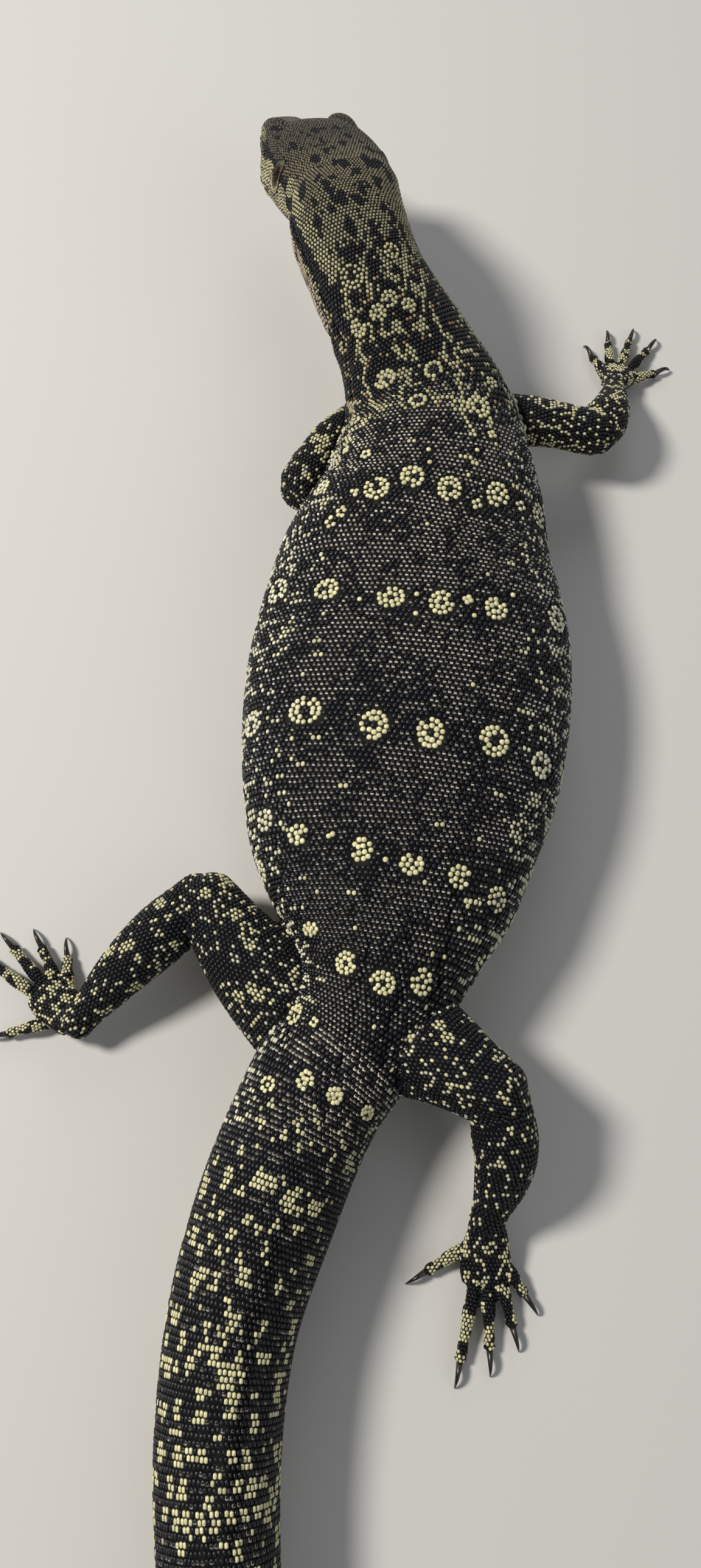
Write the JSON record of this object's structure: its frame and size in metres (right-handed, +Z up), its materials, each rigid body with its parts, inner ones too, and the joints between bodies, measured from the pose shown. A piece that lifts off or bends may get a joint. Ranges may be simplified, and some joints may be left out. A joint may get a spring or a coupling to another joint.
{
  "type": "water monitor lizard",
  "caption": "Life-size water monitor lizard at rest on its belly, neck raised, head turned left, legs sprawled and tail curving behind.",
  "frame": {"origin": "on the floor, under the middle of the belly", "axes": "+Y from tail to head, +X to the animal's right, +Z up"},
  "size_m": [0.1677, 0.6592, 0.0486],
  "materials": {
    "scaly_skin": "near-black beaded scales with pale yellow rings, flecks and bars, satin sheen",
    "head_skin": "small olive-brown scales with dark blotches, cream cheeks and lips",
    "claw": "smooth black horn",
    "eye": "wet, very dark brown eye with a round pupil"
  },
  "bodies": {
    "root": {"head": "head_skin", "lower_jaw": "head_skin", "eye_left": "eye", "eye_right": "eye", "neck": "scaly_skin", "torso": "scaly_skin", "tail_1": "scaly_skin", "tail_2": "scaly_skin", "tail_3": "scaly_skin", "tail_4": "scaly_skin", "tail_5": "scaly_skin", "upper_arm_right": "scaly_skin", "forearm_right": "scaly_skin", "hand_right": "scaly_skin", "claw_hand_right_1": "claw", "claw_hand_right_2": "claw", "claw_hand_right_3": "claw", "claw_hand_right_4": "claw", "claw_hand_right_5": "claw", "upper_arm_left": "scaly_skin", "forearm_left": "scaly_skin", "hand_left": "scaly_skin", "claw_hand_left_1": "claw", "claw_hand_left_2": "claw", "claw_hand_left_3": "claw", "claw_hand_left_4": "claw", "claw_hand_left_5": "claw", "thigh_right": "scaly_skin", "shank_right": "scaly_skin", "foot_right": "scaly_skin", "claw_foot_right_1": "claw", "claw_foot_right_2": "claw", "claw_foot_right_3": "claw", "claw_foot_right_4": "claw", "claw_foot_right_5": "claw", "thigh_left": "scaly_skin", "shank_left": "scaly_skin", "foot_left": "scaly_skin", "claw_foot_left_1": "claw", "claw_foot_left_2": "claw", "claw_foot_left_3": "claw", "claw_foot_left_4": "claw", "claw_foot_left_5": "claw"}
  },
  "joints": []
}
